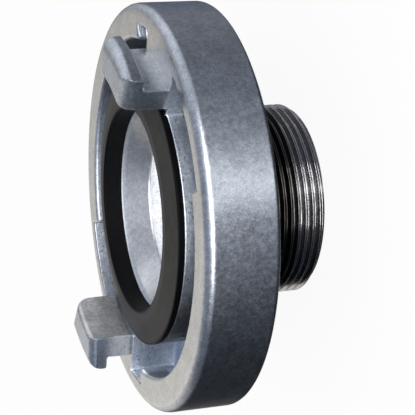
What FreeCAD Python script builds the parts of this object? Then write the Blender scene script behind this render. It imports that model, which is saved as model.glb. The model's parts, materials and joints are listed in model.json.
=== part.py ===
"""Quarter turn fire hose coupling: two claws, a rubber seal and a male pipe thread.

The body is one aluminium forging. Its ring carries two hooked claws, which reach
into the slots of a like coupling and then turn under its ramped lips. The hub inside
the ring holds the seal, and the stub behind it screws into a valve or a pump.

The part stands on the end of its thread. The axis of the bore is Z, the claws point
up, and X passes through the middle of both claws. All sizes are in millimetres.
"""
import FreeCAD, Part

import math
import os

from FreeCAD import Vector

# Claws
CLAW_SPACING = 89.0            # between the inner faces of the two claws
CLAW_ARC = 26.0                # degrees
CLAW_REACH = 14.0              # from the ring's face to the tips
CLAW_ARM_THICKNESS = 7.2
CLAW_NOSE_THICKNESS = 6.0      # along the axis
CLAW_NOSE_OVERHANG = 4.3       # outwards from the arm
CLAW_ROOT_DEPTH = 3.0          # sunk in the forging, so that arm and ring are one
NOSE_FRONT_ROUND = 4.5
NOSE_BACK_ROUND = 0.8
NOSE_NECK_ROUND = 1.0
CLAW_INNER_ROUND = 1.6
CLAW_SLOT_END_ROUND = 4.6      # of the tip's corner at the slot, seen along the radius
CLAW_NOTCH_END_ROUND = 2.8     # of its corner at the notch

# Room that one coupling half leaves for the other
HUB_CLEARANCE = 2.7            # claw to the mate's hub
ARM_CLEARANCE = 0.5            # claw arm to the mate's lip
NOSE_CLEARANCE = 1.0           # claw nose to the channel wall
TIP_CLEARANCE = 1.0            # claw tip to the channel floor
LIP_CLEARANCE = 0.2            # claw nose to the thick end of the lip

# Ring, lips, slots and notches
RING_WALL = 6.0
WEB_THICKNESS = 7.0
RING_FRONT_ROUND = 3.0
RING_BACK_ROUND = 1.6
SLOT_ARC = 35.0                # degrees, open for a claw to enter
NOTCH_ARC = 11.0               # degrees, beyond the other end of the claw
CLAW_ROOT_STEP = 1.0           # degrees that the root block stands out past the claw
LIP_RISE = 1.4                 # how much thinner the lip is where a claw enters
LIP_EDGE_ROUND = 1.3
LIP_END_ROUND = 1.0
CHANNEL_ROUND = 1.5
CHANNEL_END_ROUND = 1.2
EDGE_BREAK = 0.5

# Hub with its groove for the seal, and the throat of the water way
HUB_SETBACK = 0.9              # from the ring's face back to the hub's
HUB_WALL = 2.2                 # outside the undercut
GROOVE_UNDERCUT = 1.6
GROOVE_WIDTH = 5.8             # at its floor
GROOVE_DEPTH = 9.0
GROOVE_RIM = 5.0               # from the face down to the undercut
LINING_WALL = 2.5              # between the groove and the throat
LINING_DEPTH = 3.5             # from the face down to the lining's end
LINING_BEVEL = 0.5
LINING_BEVEL_LENGTH = 1.1
THROAT_LENGTH = 6.7            # from the bevel to the straight bore

# Seal
SEAL_CLEARANCE = 0.1           # in the groove
SEAL_SETBACK = 0.2             # from the throat out to the seal's inner wall
SEAL_CREST_HEIGHT = 2.5        # above the ring's face
SEAL_CREST_WIDTH = 3.0
SEAL_OVERHANG = 0.2            # of the flange past the hub
SEAL_FLANGE_EDGE = 1.6
SEAL_STEP_WIDTH = 3.0          # from the crest out to the faint ridge
SEAL_STEP_DROP = 0.7
SEAL_CREST_ROUND = 0.5
SEAL_EDGE_ROUND = 0.3

# Neck and threaded stub
THREAD_DIAMETER = 59.6         # over the crests
THREAD_LENGTH = 20.0
THREAD_CHAMFER = 1.5
STUB_WALL = 4.3                # from the crests in to the bore
RELIEF_LENGTH = 3.0
RELIEF_DEPTH = 1.6
NECK_SHOULDER = 4.2
NECK_LENGTH = 5.0
NECK_ROUND = 1.5
BORE_CHAMFER = 0.8

# Radii, from the claws outwards and inwards
claw_radius = CLAW_SPACING / 2
arm_radius = claw_radius + CLAW_ARM_THICKNESS
nose_radius = arm_radius + CLAW_NOSE_OVERHANG
lip_radius = arm_radius + ARM_CLEARANCE
channel_radius = nose_radius + NOSE_CLEARANCE
ring_radius = channel_radius + RING_WALL
hub_radius = claw_radius - HUB_CLEARANCE
undercut_radius = hub_radius - HUB_WALL
groove_mouth_radius = undercut_radius - GROOVE_UNDERCUT
groove_inner_radius = undercut_radius - GROOVE_WIDTH
throat_radius = groove_inner_radius - LINING_WALL
thread_radius = THREAD_DIAMETER / 2
bore_radius = thread_radius - STUB_WALL
relief_radius = thread_radius - RELIEF_DEPTH
neck_radius = thread_radius + NECK_SHOULDER

# Heights above the end of the thread
channel_depth = CLAW_REACH + TIP_CLEARANCE
relief_top = THREAD_LENGTH + RELIEF_LENGTH
ring_back = relief_top + NECK_LENGTH
channel_floor = ring_back + WEB_THICKNESS
face = channel_floor + channel_depth
hub_face = face - HUB_SETBACK
claw_tip = face + CLAW_REACH
nose_back = claw_tip - CLAW_NOSE_THICKNESS
lip_thickness = CLAW_REACH - CLAW_NOSE_THICKNESS - LIP_CLEARANCE

# Angles in degrees, counter-clockwise from X, seen from the claws
claw_end = CLAW_ARC / 2
channel_start = claw_end + CLAW_ROOT_STEP
channel_end = 180 - claw_end
lip_start = claw_end + NOTCH_ARC
lip_end = channel_end - SLOT_ARC

ORIGIN = Vector(0, 0, 0)
AXIS = Vector(0, 0, 1)


def outline(corners):
    """A closed face in the XZ plane. A corner is (radius, height) or, to round it,
    (radius, height, rounding)."""
    points = [Vector(corner[0], 0, corner[1]) for corner in corners]
    spans = []
    for i, corner in enumerate(corners):
        point = points[i]
        if len(corner) == 2:
            spans.append((point, None, point))
            continue
        rounding = corner[2]
        back = (points[i - 1] - point).normalize()
        ahead = (points[(i + 1) % len(points)] - point).normalize()
        half = back.getAngle(ahead) / 2
        middle = (back + ahead).normalize()
        tangent = rounding / math.tan(half)
        top = point + middle * (rounding / math.sin(half) - rounding)
        spans.append((point + back * tangent, top, point + ahead * tangent))
    edges = []
    for i, (start, top, end) in enumerate(spans):
        if top is not None:
            edges.append(Part.Arc(start, top, end).toShape())
        edges.append(Part.LineSegment(end, spans[(i + 1) % len(spans)][0]).toShape())
    return Part.Face(Part.Wire(edges))


def turned(corners, start=0.0, arc=360.0):
    """The outline turned about the axis, from the start angle through the arc."""
    solid = outline(corners).revolve(ORIGIN, AXIS, arc)
    solid.rotate(ORIGIN, AXIS, start)
    return solid


def end_edges(solid, angle, above):
    """The edges that lie in the radial plane at this angle and above this height."""
    direction = Vector(math.cos(math.radians(angle)), math.sin(math.radians(angle)), 0)
    across = AXIS.cross(direction)
    found = []
    for edge in solid.Edges:
        samples = edge.discretize(3)
        in_plane = all(abs(p.dot(across)) < 1e-4 and p.dot(direction) > 0 for p in samples)
        if in_plane and samples[1].z > above:
            found.append(edge)
    return found


def both_sides(solid):
    """The solid and its twin half a turn round the axis."""
    twin = solid.copy()
    twin.rotate(ORIGIN, AXIS, 180)
    return [solid, twin]


def forging():
    """The turned form of the body: stub, neck, ring, hub, seal groove and bore."""
    throat_end = face - LINING_DEPTH - LINING_BEVEL_LENGTH - THROAT_LENGTH
    return turned([
        (bore_radius + BORE_CHAMFER, 0),
        (thread_radius - THREAD_CHAMFER, 0),
        (thread_radius, THREAD_CHAMFER),
        (thread_radius, THREAD_LENGTH),
        (relief_radius, THREAD_LENGTH + RELIEF_DEPTH / 2),
        (relief_radius, relief_top),
        (neck_radius, relief_top),
        (neck_radius, ring_back, NECK_ROUND),
        (ring_radius, ring_back, RING_BACK_ROUND),
        (ring_radius, face, RING_FRONT_ROUND),
        (claw_radius, face),
        (claw_radius, hub_face),
        (groove_mouth_radius, hub_face),
        (groove_mouth_radius, face - GROOVE_RIM),
        (undercut_radius, face - GROOVE_RIM),
        (undercut_radius, face - GROOVE_DEPTH),
        (groove_inner_radius, face - GROOVE_DEPTH),
        (groove_inner_radius, face - LINING_DEPTH),
        (throat_radius, face - LINING_DEPTH),
        (throat_radius - LINING_BEVEL, face - LINING_DEPTH - LINING_BEVEL_LENGTH),
        (bore_radius, throat_end),
        (bore_radius, BORE_CHAMFER),
    ])


def channel():
    """What is cut out between hub and ring, from one claw root to the next."""
    clear = face + CLAW_REACH
    cutter = turned([
        (hub_radius - EDGE_BREAK, clear),
        (hub_radius - EDGE_BREAK, hub_face),
        (hub_radius, hub_face - EDGE_BREAK),
        (hub_radius, channel_floor, CHANNEL_ROUND),
        (channel_radius, channel_floor, CHANNEL_ROUND),
        (channel_radius, face - EDGE_BREAK),
        (channel_radius + EDGE_BREAK, face),
        (channel_radius + EDGE_BREAK, clear),
    ], channel_start, channel_end - channel_start)
    ends = end_edges(cutter, channel_start, 0) + end_edges(cutter, channel_end, 0)
    sunk = [edge for edge in ends if edge.CenterOfMass.z < hub_face - EDGE_BREAK]
    return cutter.makeFillet(CHANNEL_END_ROUND, sunk)


def lip():
    """The flange that a mate's claw hooks under. Its underside climbs as a screw does."""
    arc = lip_end - lip_start
    root_radius = channel_radius + RING_WALL / 3
    blank = turned([
        (lip_radius, face - lip_thickness),
        (lip_radius, face, LIP_EDGE_ROUND),
        (root_radius, face),
        (root_radius, face - lip_thickness),
    ], lip_start, arc)
    low = face - lip_thickness
    ends = end_edges(blank, lip_start, low) + end_edges(blank, lip_end, low)
    inner_ends = [edge for edge in ends if edge.CenterOfMass.z > low]
    blank = blank.makeFillet(LIP_END_ROUND, inner_ends)
    pitch = LIP_RISE * 360 / arc
    inner = Part.makeHelix(pitch, LIP_RISE, arm_radius)
    outer = Part.makeHelix(pitch, LIP_RISE, ring_radius)
    ramp = Part.makeRuledSurface(inner.Edges[0], outer.Edges[0]).extrude(Vector(0, 0, -lip_thickness))
    ramp.rotate(ORIGIN, AXIS, lip_start)
    ramp.translate(Vector(0, 0, low))
    return blank.cut(ramp)


def claw_plan(x):
    """The claw's width where it is this far from the axis. The tip's corners are round,
    more so where it leads into a mate's slot."""
    side = x * math.tan(math.radians(claw_end))
    low = face - 2 * CLAW_ROOT_DEPTH
    near = CLAW_NOTCH_END_ROUND
    far = CLAW_SLOT_END_ROUND
    points = [
        Vector(x, -side, low),
        Vector(x, side, low),
        Vector(x, side, claw_tip - near),
        Vector(x, side - near, claw_tip),
        Vector(x, far - side, claw_tip),
        Vector(x, -side, claw_tip - far),
    ]
    bulge = 1 - math.sqrt(0.5)
    right = Vector(x, side - bulge * near, claw_tip - bulge * near)
    left = Vector(x, bulge * far - side, claw_tip - bulge * far)
    edges = [
        Part.LineSegment(points[0], points[1]),
        Part.LineSegment(points[1], points[2]),
        Part.Arc(points[2], right, points[3]),
        Part.LineSegment(points[3], points[4]),
        Part.Arc(points[4], left, points[5]),
        Part.LineSegment(points[5], points[0]),
    ]
    return Part.Wire([edge.toShape() for edge in edges])


def claw():
    """One hooked claw with its nose turned outwards."""
    low = face - CLAW_ROOT_DEPTH
    front_round = min(NOSE_FRONT_ROUND, 0.75 * CLAW_NOSE_THICKNESS)
    hook = turned([
        (claw_radius, low),
        (claw_radius, claw_tip, CLAW_INNER_ROUND),
        (nose_radius, claw_tip, front_round),
        (nose_radius, nose_back, NOSE_BACK_ROUND),
        (arm_radius, nose_back, NOSE_NECK_ROUND),
        (arm_radius, low),
    ], -CLAW_ARC, 2 * CLAW_ARC)
    width = Part.makeLoft([claw_plan(hub_radius / 2), claw_plan(ring_radius)], True, True)
    return hook.common(width)


def coupling_body():
    body = forging()
    for cutter in both_sides(channel()):
        body = body.cut(cutter)
    body = body.fuse(both_sides(lip()) + both_sides(claw()))
    return body.removeSplitter()


def seal_ring():
    """Rubber ring: a foot with a bead in the groove, and a flange with a raised crest."""
    inner = throat_radius + SEAL_SETBACK
    foot_inner = groove_inner_radius + SEAL_CLEARANCE
    mouth = groove_mouth_radius - SEAL_CLEARANCE
    bead = undercut_radius - SEAL_CLEARANCE
    outer = hub_radius + SEAL_OVERHANG
    crest = face + SEAL_CREST_HEIGHT
    ridge = inner + SEAL_CREST_WIDTH + SEAL_STEP_WIDTH
    return turned([
        (inner, face - LINING_DEPTH + SEAL_CLEARANCE),
        (inner, crest, SEAL_CREST_ROUND),
        (inner + SEAL_CREST_WIDTH, crest),
        (ridge, crest - SEAL_STEP_DROP),
        (outer, hub_face + SEAL_FLANGE_EDGE, SEAL_EDGE_ROUND),
        (outer, hub_face),
        (mouth, hub_face),
        (mouth, face - GROOVE_RIM - SEAL_CLEARANCE),
        (bead, face - GROOVE_RIM - SEAL_CLEARANCE),
        (bead, face - GROOVE_DEPTH + SEAL_CLEARANCE),
        (foot_inner, face - GROOVE_DEPTH + SEAL_CLEARANCE),
        (foot_inner, face - LINING_DEPTH + SEAL_CLEARANCE),
    ])


os.makedirs("parts", exist_ok=True)
for name, solid in (("coupling_body", coupling_body()), ("seal_ring", seal_ring())):
    box = solid.BoundBox
    print(name, "valid", solid.isValid(), "solids", len(solid.Solids), "faces", len(solid.Faces),
          "volume", round(solid.Volume), "height", round(box.ZMin, 3), round(box.ZMax, 3))
    solid.exportStep("parts/" + name + ".step")
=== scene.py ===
"""Looks of the quarter turn fire hose coupling: its forging and its rubber seal.

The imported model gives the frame: metres, the part standing on the end of its thread,
+Z along the bore towards the claws, and X through the middle of both claws.
"""
import json
import math
import bmesh
import bpy
from mathutils import Matrix, Vector


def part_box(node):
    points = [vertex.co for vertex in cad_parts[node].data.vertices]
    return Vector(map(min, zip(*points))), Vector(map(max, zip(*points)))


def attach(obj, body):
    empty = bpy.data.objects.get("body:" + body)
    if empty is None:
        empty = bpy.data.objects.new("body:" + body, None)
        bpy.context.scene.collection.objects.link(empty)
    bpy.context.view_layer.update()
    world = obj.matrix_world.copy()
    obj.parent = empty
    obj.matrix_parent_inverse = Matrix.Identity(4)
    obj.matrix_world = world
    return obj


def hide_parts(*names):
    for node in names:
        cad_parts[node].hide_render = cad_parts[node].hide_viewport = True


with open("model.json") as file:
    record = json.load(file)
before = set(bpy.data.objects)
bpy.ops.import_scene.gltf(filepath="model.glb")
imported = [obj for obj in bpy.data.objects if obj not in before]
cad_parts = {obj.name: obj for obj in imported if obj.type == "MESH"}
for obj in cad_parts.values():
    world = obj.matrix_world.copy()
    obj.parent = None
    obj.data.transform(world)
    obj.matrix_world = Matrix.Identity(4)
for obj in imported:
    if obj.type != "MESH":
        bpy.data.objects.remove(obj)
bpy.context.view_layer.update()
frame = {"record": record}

# The forging: one piece of aluminium, hot forged with its two claws and then turned.
# The lathe cuts its stub, neck, ring, hub, the groove of the seal and the bore, and
# a mill cuts the two channels between hub and ring. Sizes are in mm and degrees.
MM = 0.001
mounts = {mount["name"]: mount for mount in frame["record"]["mounts"]}
body_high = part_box("coupling_body")[1]
ring_radius = body_high[0] / MM
claw_tip = body_high[2] / MM
thread_radius = mounts["male_thread"]["dims"]["r_mm"]
bore_radius = mounts["water_way"]["dims"]["r_mm"]
face = mounts["coupling_face"]["pos_m"][2] / MM
shoulder = mounts["thread_shoulder"]["pos_m"][2] / MM

ring_back = 28.0
rim_round = 3.0
ring_back_round = 1.6
neck_radius = 34.0
neck_round = 1.5
shoulder_round = 0.4
relief_radius = 28.2
relief_draft = 0.1
bore_chamfer = 0.8
cone_foot = face - 11.3
cone_round = 1.5
throat_radius = 31.3
throat_chamfer = 0.25
throat_round = 0.2
ledge = face - 3.5
groove_inner = 33.8
groove_floor = face - 9
groove_mouth = 38.0
groove_round = 0.3
undercut = 39.6
undercut_top = face - 5
hub_radius = 41.8
hub_face = face - 0.9
hub_round = 0.6
claw_radius = 44.5
channel_radius = 57.0
channel_floor = 35.0
channel_round = 1.5
mouth_round = 0.6
lip_radius = 52.2
lip_low = face - 7.8
lip_low_round = 0.5
lip_round = 1.3
lip_rise = 1.4

CLAW_HALF_ARC = 13
CHANNEL_START = 14
LIP_START = 24
LIP_END = 132
CHANNEL_END = 167

# Every sector has the same turned outline, from the ring's rim round the back and the
# stub, up the bore and out over the groove, and then the front that it has there.
turned_outline = [
    (ring_radius, face, rim_round),
    (ring_radius, ring_back, ring_back_round),
    (neck_radius, ring_back, neck_round),
    (neck_radius, shoulder, shoulder_round),
    (relief_radius + relief_draft, shoulder),
    (relief_radius - relief_draft, 0),
    (bore_radius + bore_chamfer, 0),
    (bore_radius, bore_chamfer),
    (bore_radius, cone_foot, cone_round),
    (throat_radius - throat_chamfer, ledge - 2 * throat_chamfer, throat_round),
    (throat_radius, ledge),
    (groove_inner, ledge),
    (groove_inner, groove_floor),
    (undercut, groove_floor),
    (undercut, undercut_top),
    (groove_mouth, undercut_top),
    (groove_mouth, hub_face, groove_round),
]
claw_root_front = [
    (hub_radius - hub_round, hub_face),
    (claw_radius, hub_face),
    (claw_radius, face),
    (channel_radius + mouth_round, face),
]
lip_front = [
    (hub_radius, hub_face, hub_round),
    (hub_radius, channel_floor, channel_round),
    (channel_radius, channel_floor, channel_round),
    (channel_radius, lip_low),
    (lip_radius, lip_low, lip_low_round),
    (lip_radius, face, lip_round),
    (channel_radius + mouth_round, face),
]


def slot_front(split):
    """The open channel. Its outer wall is split at the height of the lip's underside."""
    return [
        (hub_radius, hub_face, hub_round),
        (hub_radius, channel_floor, channel_round),
        (channel_radius, channel_floor, channel_round),
        (channel_radius, split),
        (channel_radius, face, mouth_round),
    ]


TURNED_SEGMENTS = 5
NEAR = 0.01
LIP_UNDERSIDE = 2.0
WELD = 2e-6


def outline(corners, segments):
    """Edges in the XZ plane. A corner is (radius, height) or (radius, height, rounding)."""
    bm = bmesh.new()
    points = [bm.verts.new((corner[0] * MM, 0, corner[1] * MM)) for corner in corners]
    bm.faces.new(points)
    for point, corner in zip(points, corners):
        if len(corner) == 3:
            sides = [(edge.other_vert(point).co - point.co).normalized() for edge in point.link_edges]
            half = sides[0].angle(sides[1]) / 2
            bmesh.ops.bevel(bm, geom=[point], offset=corner[2] * MM / math.tan(half), offset_type="OFFSET",
                            segments=segments, profile=0.5, affect="VERTICES", material=-1)
    bmesh.ops.delete(bm, geom=bm.faces[:], context="FACES_ONLY")
    return bm


def angle(vert):
    return math.degrees(math.atan2(vert.co.y, vert.co.x))


def radius(vert):
    return vert.co.xy.length / MM


def height(vert):
    return vert.co.z / MM


def wound(bm, degrees, steps, **spin):
    """Spins the edges round the bore's axis into a skin."""
    bmesh.ops.spin(bm, geom=bm.verts[:] + bm.edges[:], axis=(0, 0, 1), angle=math.radians(degrees),
                   steps=steps, **spin)


def turn(bm, degrees):
    bmesh.ops.rotate(bm, verts=bm.verts, matrix=Matrix.Rotation(math.radians(degrees), 3, "Z"))


def sector(front, start, end):
    """The skin of the forging between two angles, one column of faces to a degree.

    The side of the stub is left open for the thread, and the underside of a lip climbs.
    """
    bm = outline(turned_outline + front, TURNED_SEGMENTS)
    stub_side = [edge for edge in bm.edges if {round(height(vert), 3) for vert in edge.verts} == {0, shoulder}]
    bmesh.ops.delete(bm, geom=stub_side, context="EDGES")
    wound(bm, end - start, end - start)
    if front is lip_front:
        for vert in bm.verts:
            on_lip = lip_radius - NEAR < radius(vert) < channel_radius + NEAR
            if on_lip and lip_low - NEAR < height(vert) < lip_low + LIP_UNDERSIDE:
                vert.co.z += lip_rise * MM * angle(vert) / (end - start)
    turn(bm, start)
    return bm


def joined(parts):
    """One bmesh of them all."""
    whole = bmesh.new()
    for part in parts:
        mesh = bpy.data.meshes.new("part")
        part.to_mesh(mesh)
        part.free()
        whole.from_mesh(mesh)
        bpy.data.meshes.remove(mesh)
    return whole


def welded(bm):
    """The same, with the points that meet made one."""
    bmesh.ops.remove_doubles(bm, verts=bm.verts, dist=WELD)
    return bm


sectors = []
for half_turn in (0, 180):
    for front, start, end in (
            (claw_root_front, -CLAW_HALF_ARC, CHANNEL_START),
            (slot_front(lip_low), CHANNEL_START, LIP_START),
            (lip_front, LIP_START, LIP_END),
            (slot_front(lip_low + lip_rise), LIP_END, CHANNEL_END)):
        sectors.append(sector(front, start + half_turn, end + half_turn))
body = welded(joined(sectors))
steps_between = [edge for edge in body.edges
                 if edge.is_boundary and any(radius(vert) > groove_mouth for vert in edge.verts)]
bmesh.ops.edgeloop_fill(body, edges=steps_between)
bmesh.ops.recalc_face_normals(body, faces=body.faces)

# The cutter leaves round corners at the channels' ends, the ends of the lips are eased,
# and then a fine broken edge goes on all that is still sharp at the front.
CHANNEL_CORNER = 1.2
LIP_END_ROUND = 1.0
BROKEN_EDGE = 0.4


def steep(edge, degrees):
    return edge.is_manifold and edge.calc_face_angle() > math.radians(degrees)


def crosses(edge, angles):
    """Whether the edge lies in one of these radial planes, on either side of the bore."""
    return any(all(abs((angle(vert) - plane + 90) % 180 - 90) < NEAR for vert in edge.verts) for plane in angles)


def beyond(edge, inner, low):
    """Whether the whole edge lies outside this radius and above this height."""
    return all(radius(vert) > inner and height(vert) > low for vert in edge.verts)


def rounded(bm, edges, offset, segments):
    bmesh.ops.bevel(bm, geom=edges, offset=offset * MM, offset_type="OFFSET", segments=segments, profile=0.5,
                    affect="EDGES", material=-1)


channel_corners = [edge for edge in body.edges if steep(edge, 60) and not edge.is_convex
                   and crosses(edge, (CHANNEL_START, CHANNEL_END))
                   and all(height(vert) < face - 0.5 for vert in edge.verts)]
rounded(body, channel_corners, CHANNEL_CORNER, 3)
lip_ends = [edge for edge in body.edges if steep(edge, 60) and edge.is_convex
            and crosses(edge, (LIP_START, LIP_END)) and beyond(edge, lip_radius - NEAR, lip_low - NEAR)
            and any(radius(vert) < channel_radius - NEAR for vert in edge.verts)]
rounded(body, lip_ends, LIP_END_ROUND, 3)
front_edges = [edge for edge in body.edges if steep(edge, 35) and beyond(edge, hub_radius - 1, face - 8)]
rounded(body, front_edges, BROKEN_EDGE, 2)

# The thread, cut on the stub: right-hand, with the standard pitch for its size.
# It rises out of a chamfer at the free end and runs out before the shoulder.
PITCH = 2.309
THREAD_STEPS = 144
CREST_ROUND = 0.13
ON_CUT = 0.001
chamfer = 1.5
thread_end = 20.0
run_out = 0.9
foot = PITCH * 5 / 12
crest = PITCH / 12


def one_turn():
    """The thread's groove and crest over one pitch, wound once round the bore."""
    bm = bmesh.new()
    points = [bm.verts.new((r * MM, 0, z * MM)) for r, z in (
        (relief_radius, -PITCH / 2), (relief_radius, -foot), (thread_radius, -crest),
        (thread_radius, crest), (relief_radius, foot), (relief_radius, PITCH / 2))]
    for near, far in zip(points, points[1:]):
        bm.edges.new((near, far))
    for point in points[1:-1]:
        bmesh.ops.bevel(bm, geom=[point], offset=CREST_ROUND * MM, offset_type="OFFSET", segments=3, profile=0.5,
                        affect="VERTICES", material=-1)
    wound(bm, 360, THREAD_STEPS, dvec=(0, 0, PITCH * MM / THREAD_STEPS))
    return bm


turns = []
for number in range(-1, math.ceil(shoulder / PITCH) + 1):
    bm = one_turn()
    bmesh.ops.translate(bm, verts=bm.verts, vec=(0, 0, number * PITCH * MM))
    turns.append(bm)
thread = welded(joined(turns))
for level, kept in ((0, 1), (shoulder, -1)):
    bmesh.ops.bisect_plane(thread, geom=thread.verts[:] + thread.edges[:] + thread.faces[:], dist=1e-6,
                           plane_co=(0, 0, level * MM), plane_no=(0, 0, kept), clear_inner=True)
depth = thread_radius - relief_radius
for vert in thread.verts:
    cut = max(1 - height(vert) / chamfer, min(1, (height(vert) - thread_end) / run_out), 0)
    if radius(vert) > thread_radius - depth * cut:
        vert.co.xy = vert.co.xy.normalized() * (thread_radius - depth * cut) * MM
body = joined([body, thread])
for level in (0, shoulder):
    ends = [edge for edge in body.edges
            if edge.is_boundary and all(abs(height(vert) - level) < ON_CUT for vert in edge.verts)]
    bmesh.ops.bridge_loops(body, edges=ends)
bmesh.ops.recalc_face_normals(body, faces=body.faces)

# The claws stand on the ring with their noses turned out. Forging leaves their tips well
# rounded, and more so at the end that leads into the other half's slot.
arm_radius = 51.7
nose_radius = 56.0
nose_back = claw_tip - 6
claw_foot = face - 3
FINE_SEGMENTS = 16
TIP_INNER_ROUND = 1.6
TIP_OUTER_ROUND = 4.5
NOTCH_END_SHARE = 0.6
NOSE_BACK_ROUND = 0.8
NOSE_NECK_ROUND = 1.0
SLOT_END_ROUND = 4.6
NOTCH_END_ROUND = 2.8


def smooth(name, bm):
    """An object from the bmesh, smooth up to its edges."""
    mesh = bpy.data.meshes.new(name)
    bm.to_mesh(mesh)
    bm.free()
    mesh.shade_smooth()
    mesh.set_sharp_from_angle(angle=math.radians(35))
    piece = bpy.data.objects.new(name, mesh)
    bpy.context.collection.objects.link(piece)
    return piece


def combine(piece, other, operation):
    """Adds the other object to the piece, or cuts the piece with it, to one closed skin."""
    step = piece.modifiers.new(other.name, "BOOLEAN")
    step.object = other
    step.operation = operation
    step.solver = "MANIFOLD"
    mesh = bpy.data.meshes.new_from_object(piece.evaluated_get(bpy.context.evaluated_depsgraph_get()))
    piece.modifiers.clear()
    piece.data = mesh
    bpy.data.objects.remove(other)


def closed(bm):
    """The skin with its two open ends filled."""
    bmesh.ops.edgeloop_fill(bm, edges=[edge for edge in bm.edges if edge.is_boundary])
    bmesh.ops.recalc_face_normals(bm, faces=bm.faces)
    return bm


def claw_plan(x):
    """The claw's outline this far from the bore's axis, seen along the radius."""
    side = x * math.tan(math.radians(CLAW_HALF_ARC))
    bm = outline([(-side, claw_foot - 1), (side, claw_foot - 1), (side, claw_tip, NOTCH_END_ROUND),
                  (-side, claw_tip, SLOT_END_ROUND)], FINE_SEGMENTS)
    turn(bm, 90)
    bmesh.ops.translate(bm, verts=bm.verts, vec=(x * MM, 0, 0))
    return bm


hook = outline([
    (claw_radius, claw_foot),
    (claw_radius, claw_tip, TIP_INNER_ROUND),
    (nose_radius, claw_tip, TIP_OUTER_ROUND),
    (nose_radius, nose_back, NOSE_BACK_ROUND),
    (arm_radius, nose_back, NOSE_NECK_ROUND),
    (arm_radius, claw_foot),
], FINE_SEGMENTS)
wound(hook, 40, 40)
turn(hook, -20)
corner = Vector((nose_radius, claw_tip))
for vert in hook.verts:
    from_corner = Vector((radius(vert), height(vert))) - corner
    if min(from_corner) > -TIP_OUTER_ROUND - NEAR:
        share = 1 - (1 - NOTCH_END_SHARE) * (CLAW_HALF_ARC - angle(vert)) / (2 * CLAW_HALF_ARC)
        place = corner + from_corner * share
        vert.co.xy = vert.co.xy.normalized() * place.x * MM
        vert.co.z = place.y * MM
width = joined([claw_plan(40), claw_plan(60)])
bmesh.ops.bridge_loops(width, edges=width.edges)
whole_claw = smooth("claw", closed(hook))
combine(whole_claw, smooth("width", closed(width)), "INTERSECT")
claw = bmesh.new()
claw.from_mesh(whole_claw.data)
bpy.data.objects.remove(whole_claw)
welded(claw)
rounded(claw, [edge for edge in claw.edges if steep(edge, 9) and beyond(edge, 0, face - 1)], BROKEN_EDGE, 2)
forging = smooth("coupling_forging", body)
for half_turn in (0, 180):
    turned_claw = claw.copy()
    turn(turned_claw, half_turn)
    combine(forging, smooth("claw", turned_claw), "UNION")
claw.free()
forging.data.materials.clear()
forging.data.set_sharp_from_angle(angle=math.radians(35))
even = forging.modifiers.new("even shading", "WEIGHTED_NORMAL")
even.keep_sharp = True

# The forging's finish: ring and claws are shot-blasted and left satin, the face is skimmed flat, the channels are
# milled, and bore and thread are bright from the tool. Painted light lies over it: a painted shine in the open slots,
# a painted reflection on the claws' leading end faces, bright at the root and dark at the nose, painted shade in the
# channels under the lips, and the ring's painted shadow on the thread near the shoulder.


class Wire:
    """A socket of a shader's nodes. Arithmetic on wires adds the Math nodes for it."""

    def __init__(self, tree, socket=None):
        self.tree = tree
        self.socket = socket

    def node(self, kind, settings, inputs, output=0):
        """A new node in the same tree, with its settings made and then its sockets fed."""
        made = self.tree.nodes.new("ShaderNode" + kind)
        for name, value in settings.items():
            if name == "stops":
                stops = made.color_ramp.elements
                stops.remove(stops[1])
                stops[0].position, stops[0].color = value[0][0], (*value[0][1], 1)
                for place, colour in value[1:]:
                    stops.new(place).color = (*colour, 1)
            else:
                setattr(made, name, value)
        for name, value in inputs.items():
            if isinstance(value, Wire):
                self.tree.links.new(value.socket, made.inputs[name])
            else:
                made.inputs[name].default_value = value
        return Wire(self.tree, made.outputs[output] if made.outputs else None)

    def math(self, operation, *values):
        return self.node("Math", {"operation": operation}, dict(enumerate(values)))

    def __add__(self, other):
        return self.math("ADD", self, other)

    def __sub__(self, other):
        return self.math("SUBTRACT", self, other)

    def __rsub__(self, other):
        return self.math("SUBTRACT", other, self)

    def __mul__(self, other):
        return self.math("MULTIPLY", self, other)

    def __truediv__(self, other):
        return self.math("DIVIDE", self, other)

    __radd__ = __add__
    __rmul__ = __mul__

    def rise(self, low, high, bottom=0.0, top=1.0):
        """Eases from bottom to top as this goes from low to high."""
        return self.node("MapRange", {"interpolation_type": "SMOOTHSTEP"},
                         {0: self, 1: low, 2: high, 3: bottom, 4: top})

    def blend(self, first, second):
        """The first colour where this is 0, the second where it is 1."""
        return self.node("Mix", {"data_type": "RGBA"}, {0: self, 6: first, 7: second}, 2)

    def noise(self, scale, detail=2.0, roughness=0.5):
        return self.node("TexNoise", {}, {"Vector": self, "Scale": scale, "Detail": detail, "Roughness": roughness})

    def parts(self):
        """Its X, Y and Z."""
        return [Wire(self.tree, part) for part in self.node("SeparateXYZ", {}, {0: self}).socket.node.outputs]


def place_on(tree):
    """The place on the piece, in mm."""
    spot = Wire(tree).node("TexCoord", {}, {}, 3)
    return spot.node("VectorMath", {"operation": "SCALE"}, {0: spot, "Scale": 1 / MM})


BLASTED = (0.61, 0.65, 0.71, 1)
SKIMMED = (0.76, 0.757, 0.745, 1)
BORED = (0.80, 0.81, 0.83, 1)
MILLED = (0.70, 0.745, 0.81, 1)
CLAW_INSIDE = (0.84, 0.83, 0.82, 1)
DULL_END = (0.44, 0.49, 0.55, 1)
# Painted reflection on the claws' leading end faces: nearly white at the root, dark at the nose.
LIT_END_ROOT = (0.93, 0.97, 1.0, 1)
SHADED_END_NOSE = (0.37, 0.43, 0.52, 1)
# Painted shine: a brighter colour in the open slots, for the light that falls into them.
SLOT_SHINE = (0.74, 0.80, 0.90, 1)
# Painted shade: a dark colour for the channels under the lips, where shade falls.
SHADE_UNDER_LIPS = (0.33, 0.345, 0.365, 1)
CUT_THREAD = (0.50, 0.49, 0.495, 1)
# Painted shadow: the thread near the shoulder is painted dark where the ring's shadow falls.
THREAD_IN_RING_SHADOW = (0.09, 0.085, 0.08, 1)
DEGREE = math.radians(1)

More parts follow.
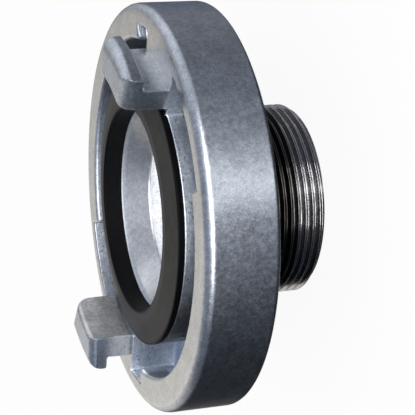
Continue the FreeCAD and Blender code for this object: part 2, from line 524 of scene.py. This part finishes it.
aluminium = bpy.data.materials.new("forged_aluminium_finish")
aluminium.use_nodes = True
tree = aluminium.node_tree
spot = place_on(tree)
across, along, up = spot.parts()
out = across.math("SQRT", across * across + along * along)
heading = along.math("ARCTAN2", along, across)
past_claw = heading.math("FLOORED_MODULO", heading, math.pi)
side = along.math("ABSOLUTE", along) - math.tan(CLAW_HALF_ARC * DEGREE) * across.math("ABSOLUTE", across)

on_face = up.rise(face - 0.35, face - 0.1) * (1 - up.rise(face + 0.1, face + 0.3))
on_thread = (1 - up.rise(shoulder - 0.4, shoulder)) * out.rise(relief_radius - 0.6, relief_radius - 0.2)
in_bore = (1 - out.rise(throat_radius - 0.2, throat_radius + 0.2)) * (1 - on_thread)
past_cone = in_bore * (1 - up.rise(face - 14, face - 12.5))
at_mouth = in_bore * up.rise(face - 5.0, face - 4.3)
turned = on_face.math("MAXIMUM", on_face, in_bore.math("MAXIMUM", in_bore, on_thread))
on_claw = up.rise(face + 0.2, face + 1)
on_end = on_claw * side.rise(-0.7, -0.2)
slot_end = (across * along).rise(-20, 20)
inside = on_claw * (1 - out.rise(claw_radius + 0.2, claw_radius + 0.8))
in_channel = (out.rise(hub_radius - 0.8, hub_radius - 0.3) * (1 - out.rise(channel_radius + 0.4, channel_radius + 0.9))
              * up.rise(channel_floor - 1, channel_floor - 0.5) * (1 - up.rise(face - 0.4, face - 0.1)))
in_slot = in_channel * (1 - past_claw.rise(LIP_START * DEGREE, (LIP_START + 6) * DEGREE))
# Where the painted shade goes: the channels under the lips, from just past the slot to about 80 degrees.
shaded_under_lips = (in_channel * past_claw.rise((LIP_START + 2) * DEGREE, (LIP_START + 8) * DEGREE)
         * (1 - past_claw.rise(70 * DEGREE, 95 * DEGREE)))

colour = on_face.blend(BLASTED, SKIMMED)
for mask, finish in (
        (in_bore * (1 - at_mouth), BORED),
        (in_channel, MILLED),
        (inside, CLAW_INSIDE),
        # Painted reflection on the claws' leading end faces, bright at the root and dark at the nose; a darker tone on
        # their other end faces.
        (on_end, slot_end.blend(DULL_END, up.rise(claw_tip - 9, claw_tip - 4).blend(LIT_END_ROOT, SHADED_END_NOSE))),
        # Painted shine in the open slots.
        (in_slot, SLOT_SHINE),
        # Painted shade in the channels under the lips.
        (shaded_under_lips, SHADE_UNDER_LIPS),
        # The thread darkens towards the shoulder: the ring's painted shadow.
        (on_thread, up.rise(6.5, 11.5).blend(CUT_THREAD, THREAD_IN_RING_SHADOW))):
    colour = mask.blend(colour, finish)

grain = spot.noise(2.4, 3.0, 0.65)
blotch = spot.noise(0.75, 3.0, 0.6)
mottle = spot.noise(0.16, 3.0, 0.55)
rings = out.node("CombineXYZ", {}, {0: out, 2: up}).noise(5.0, 2.0, 0.6)
flecks = in_channel * spot.noise(1.1, 2.0, 0.5).rise(0.64, 0.70)
shade = grain.rise(0.3, 0.7, 0.80, 1.15) * blotch.rise(0.3, 0.7, 0.86, 1.11) * mottle.rise(0.3, 0.7, 0.90, 1.07)
shade = 1 + (shade - 1) * (1 - 0.25 * turned)
colour = colour.node("VectorMath", {"operation": "SCALE"}, {0: colour, "Scale": shade})
roughness = (0.35 + 0.16 * (blotch - 0.5)
             - 0.05 * on_face + 0.01 * in_bore - 0.19 * past_cone + 0.25 * at_mouth - 0.20 * on_thread
             - 0.04 * on_claw + 0.12 * on_end + 0.12 * inside + 0.08 * in_channel - 0.2 * flecks)
pitted = (grain + blotch) * (1 - 0.6 * turned) * (1 - 0.7 * on_claw + 1.2 * on_end + 0.8 * in_channel)
relief = pitted + rings * 0.6 * turned
bump = relief.node("Bump", {}, {"Strength": 0.45, "Distance": 0.00008, "Height": relief})
shader = tree.nodes["Principled BSDF"]
shader.inputs["Metallic"].default_value = 1.0
tree.links.new(colour.socket, shader.inputs["Base Color"])
tree.links.new(roughness.socket, shader.inputs["Roughness"])
tree.links.new(bump.socket, shader.inputs["Normal"])
forging.data.materials.append(aluminium)
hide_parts("coupling_body")
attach(forging, "root")

# The seal: a moulded ring of black rubber. Its foot snaps into the undercut groove of the hub, and its flange lies
# over the hub's face and meets the other half's seal. It is dusty on its face, while its inner wall and outer edge get
# no dust and are painted black for the shade that falls on them.
SEAL_STEPS = 240
SEAL_PLAY = 0.1
seal_crest = face + 2.5
seal_inner = throat_radius + 0.2
seal_outer = hub_radius + 0.2
BLACK_AND_SHADED_RUBBER = (0.002, 0.002, 0.0025, 1)
DUSTY_RUBBER = (0.048, 0.047, 0.045, 1)

bm = outline([
    (seal_inner, ledge + SEAL_PLAY),
    (seal_inner, seal_crest, 0.5),
    (seal_inner + 3.0, seal_crest, 1.0),
    (seal_inner + 6.0, face + 1.8, 1.0),
    (seal_outer, hub_face + 1.6, 0.3),
    (seal_outer, hub_face),
    (groove_mouth - SEAL_PLAY, hub_face),
    (groove_mouth - SEAL_PLAY, undercut_top - SEAL_PLAY),
    (undercut - SEAL_PLAY, undercut_top - SEAL_PLAY),
    (undercut - SEAL_PLAY, groove_floor + SEAL_PLAY),
    (groove_inner + SEAL_PLAY, groove_floor + SEAL_PLAY),
    (groove_inner + SEAL_PLAY, ledge + SEAL_PLAY),
], FINE_SEGMENTS)
wound(bm, 360, SEAL_STEPS, use_merge=True)
bmesh.ops.recalc_face_normals(bm, faces=bm.faces)
seal = smooth("rubber_seal", bm)

rubber = bpy.data.materials.new("seal_rubber_finish")
rubber.use_nodes = True
tree = rubber.node_tree
spot = place_on(tree)
across, along = spot.parts()[:2]
out = across.math("SQRT", across * across + along * along)
bloom = spot.noise(0.25, 3.0, 0.6)
grain = spot.noise(4.0, 2.0, 0.5)
ridges = out.node("CombineXYZ", {}, {0: out}).noise(1.6, 2.0, 0.5)
# Dust lies on the seal's face only; its inner wall and outer edge are left pure black as painted shade.
out_of_shade = out.rise(throat_radius + 0.4, throat_radius + 1.4) * (1 - out.rise(hub_radius - 0.8, hub_radius - 0.1))
dust_and_shade = out_of_shade * (0.7 + 0.6 * (bloom - 0.5) + 0.5 * (ridges - 0.5))
colour = dust_and_shade.blend(BLACK_AND_SHADED_RUBBER, DUSTY_RUBBER)
roughness = 0.36 + 0.12 * bloom
bump = grain.node("Bump", {}, {"Strength": 0.5, "Distance": 0.00006, "Height": grain * 0.5 + ridges})
shader = tree.nodes["Principled BSDF"]
shader.inputs["Specular IOR Level"].default_value = 0.09
tree.links.new(colour.socket, shader.inputs["Base Color"])
tree.links.new(roughness.socket, shader.inputs["Roughness"])
tree.links.new(bump.socket, shader.inputs["Normal"])
seal.data.materials.append(rubber)
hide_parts("seal_ring")
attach(seal, "root")

# The camera stands as it did for the photograph, about 0.45 m from the coupling. It is
# rolled on its side, so the bore's axis lies level in the picture.
CAMERA_PLACE = (262.5, -332.3, 172.6)
CAMERA_RIGHT = (0.1387, -0.3022, -0.943)
CAMERA_UP = (0.7963, 0.6001, -0.0752)
CAMERA_LENS = 123.8
lens = bpy.data.cameras.new("camera")
lens.lens = CAMERA_LENS
lens.sensor_width = 36
lens.clip_start = 0.01
camera = bpy.data.objects.new("camera", lens)
bpy.context.collection.objects.link(camera)
camera_right = Vector(CAMERA_RIGHT).normalized()
camera_up = Vector(CAMERA_UP)
camera_up = (camera_up - camera_right * camera_up.dot(camera_right)).normalized()
camera_axes = Matrix((camera_right, camera_up, camera_right.cross(camera_up))).transposed()
camera.matrix_world = Matrix.Translation(Vector(CAMERA_PLACE) * MM) @ camera_axes.to_4x4()
bpy.context.scene.camera = camera

# The studio's air: plain, slightly cool light on matt surfaces, and white wherever the
# camera, a mirror or glass looks past the studio's pieces.
world = bpy.data.worlds.new("studio")
bpy.context.scene.world = world
world.use_nodes = True
tree = world.node_tree
tree.nodes.clear()
ray = Wire(tree).node("LightPath", {}, {})
rays = ray.socket.node.outputs
seen = Wire(tree, rays["Is Camera Ray"]) + Wire(tree, rays["Is Glossy Ray"]) + Wire(tree, rays["Is Transmission Ray"])
plain_light = seen.node("Background", {}, {"Color": (0.97, 0.985, 1.0, 1), "Strength": 0.8})
white = seen.node("Background", {}, {"Color": (1, 1, 1, 1), "Strength": 1.0})
room = seen.node("MixShader", {}, {0: seen.math("MINIMUM", seen, 1.0), 1: plain_light, 2: white})
room.node("OutputWorld", {}, {0: room})

# The studio's walls, which the metal mirrors: a round room about the coupling, with one
# band of colours below the floor's level and one above it. A bright window stands beside
# the camera, a warm wall behind the coupling, and a dark cloth hangs below its view.


def studio_piece(name, bm):
    """A piece of the studio, with an empty material of its own."""
    piece = bpy.data.objects.new(name, bpy.data.meshes.new(name))
    bm.to_mesh(piece.data)
    bm.free()
    bpy.context.collection.objects.link(piece)
    paint = bpy.data.materials.new(name)
    paint.use_nodes = True
    paint.node_tree.nodes.clear()
    piece.data.materials.append(paint)
    return piece


def glow_in_mirrors(piece, colour, strength):
    """Makes the piece shine, seen by nothing but a mirror."""
    for sight in ("camera", "diffuse", "transmission", "volume_scatter", "shadow"):
        setattr(piece, "visible_" + sight, False)
    paint = piece.active_material
    glow = Wire(paint.node_tree).node("Emission", {}, {"Color": colour, "Strength": strength})
    glow.node("OutputMaterial", {}, {0: glow})
    paint.cycles.emission_sampling = "NONE"


ROOM_RADIUS = 1.5
TO_CAMERA = (0.622, -0.783)

# Each band goes by bearings in degrees, from the camera and upwards in its picture.
LOW_WALL = (
    (-180, (1.40, 1.36, 1.30)),
    (-174, (2.10, 2.00, 1.86)),
    (-168, (1.40, 1.30, 1.16)),
    (-158, (0.24, 0.22, 0.19)),
    (-150, (0.07, 0.065, 0.06)),
    (-140, (0.02, 0.02, 0.02)),
    (-132, (0.006, 0.008, 0.011)),
    (-75, (0.008, 0.012, 0.018)),
    (-50, (0.030, 0.036, 0.048)),
    (-24, (0.055, 0.072, 0.10)),
    (-10, (0.055, 0.07, 0.10)),
    (0, (0.17, 0.19, 0.22)),
    (5.5, (2.3, 2.32, 2.35)),
    (10.5, (2.3, 2.32, 2.35)),
    (15, (0.35, 0.37, 0.41)),
    (40, (0.17, 0.19, 0.225)),
    (66, (0.12, 0.133, 0.16)),
    (92, (0.115, 0.125, 0.145)),
    (124, (0.22, 0.225, 0.24)),
    (140, (0.11, 0.13, 0.18)),
    (151, (0.02, 0.04, 0.10)),
    (176, (0.02, 0.04, 0.10)),
    (180, (0.40, 0.42, 0.46)),
)
HIGH_WALL = (
    (-180, (0.64, 0.632, 0.612)),
    (-165, (0.72, 0.705, 0.675)),
    (-150, (0.88, 0.85, 0.80)),
    (-130, (0.45, 0.43, 0.41)),
    (-110, (0.10, 0.11, 0.13)),
    (-75, (0.09, 0.11, 0.14)),
    (-50, (0.20, 0.22, 0.26)),
    (-25, (0.55, 0.57, 0.61)),
    (-8, (0.82, 0.82, 0.84)),
    (20, (0.66, 0.66, 0.69)),
    (50, (0.31, 0.34, 0.40)),
    (80, (0.60, 0.63, 0.68)),
    (105, (0.90, 0.94, 1.0)),
    (125, (0.80, 0.82, 0.86)),
    (150, (0.36, 0.36, 0.365)),
    (165, (0.42, 0.418, 0.41)),
    (180, (0.64, 0.632, 0.612)),
)
CEILING = (0.27, 0.30, 0.37, 1)
FLOOR_GLOW = (0.025, 0.025, 0.028, 1)


def around(bearing, stops):
    """The colours of a wall round the room."""
    places = [((degrees + 180) / 360, colour) for degrees, colour in stops]
    return bearing.node("ValToRGB", {"stops": places}, {0: bearing})


bm = bmesh.new()
bmesh.ops.create_uvsphere(bm, u_segments=64, v_segments=32, radius=ROOM_RADIUS)
bmesh.ops.reverse_faces(bm, faces=bm.faces)
walls = studio_piece("studio_walls", bm)
across, along, up = Wire(walls.active_material.node_tree).node("TexCoord", {}, {}, 3).parts()
toward = across * TO_CAMERA[0] + along * TO_CAMERA[1]
upward = along * TO_CAMERA[0] - across * TO_CAMERA[1]
bearing = toward.math("ARCTAN2", upward, toward) / (2 * math.pi) + 0.5
level = up / ROOM_RADIUS
colour = level.rise(-0.06, 0.06).blend(around(bearing, LOW_WALL), around(bearing, HIGH_WALL))
colour = level.rise(0.6, 0.95).blend(colour, CEILING)
colour = level.rise(-0.8, -0.55, 1.0, 0.0).blend(colour, FLOOR_GLOW)
glow_in_mirrors(walls, colour, 1.0)

# A disc of white paper lies just under the open end of the bore, and the bore's bright
# wall mirrors it.
WHITE = (1, 1, 1, 1)
PAPER_GLOW = 2.8
paper_radius = bore_radius + 0.5
paper_gap = 1
bm = bmesh.new()
bmesh.ops.create_circle(bm, cap_ends=True, segments=64, radius=paper_radius * MM)
bmesh.ops.translate(bm, verts=bm.verts, vec=(0, 0, -paper_gap * MM))
glow_in_mirrors(studio_piece("paper_under_bore", bm), WHITE, PAPER_GLOW)

# The floor is pale and matt. The camera sees it nearly white, with the coupling's soft
# shadow, and the metal doesn't mirror it.
PALE = (0.85, 0.85, 0.85, 1)
SHARE_OF_WHITE = 0.92
bm = bmesh.new()
bmesh.ops.create_grid(bm, x_segments=1, y_segments=1, size=2.0)
floor = studio_piece("floor", bm)
floor.visible_glossy = False
floor.active_material.name = "pale_floor"
ray = Wire(floor.active_material.node_tree).node("LightPath", {}, {})
matt = ray.node("BsdfDiffuse", {}, {"Color": PALE})
white = ray.node("Emission", {}, {"Color": WHITE, "Strength": 1.0})
cover = ray.node("MixShader", {}, {0: ray * SHARE_OF_WHITE, 1: matt, 2: white})
cover.node("OutputMaterial", {}, {0: cover})

# One broad soft lamp hangs on the camera's side, a little above it, and shines on the
# foot of the coupling.
lamp = bpy.data.lights.new("soft_lamp", "AREA")
lamp.shape = "RECTANGLE"
lamp.size = 1.7
lamp.size_y = 0.35
lamp.energy = 12.0
lamp_object = bpy.data.objects.new("soft_lamp", lamp)
bpy.context.collection.objects.link(lamp_object)
lamp_place = Vector((0.665, -0.902, 0.430))
lamp_object.matrix_world = Matrix.Translation(lamp_place) @ lamp_place.to_track_quat("Z", "Y").to_matrix().to_4x4()

bpy.context.scene.view_settings.view_transform = "Standard"
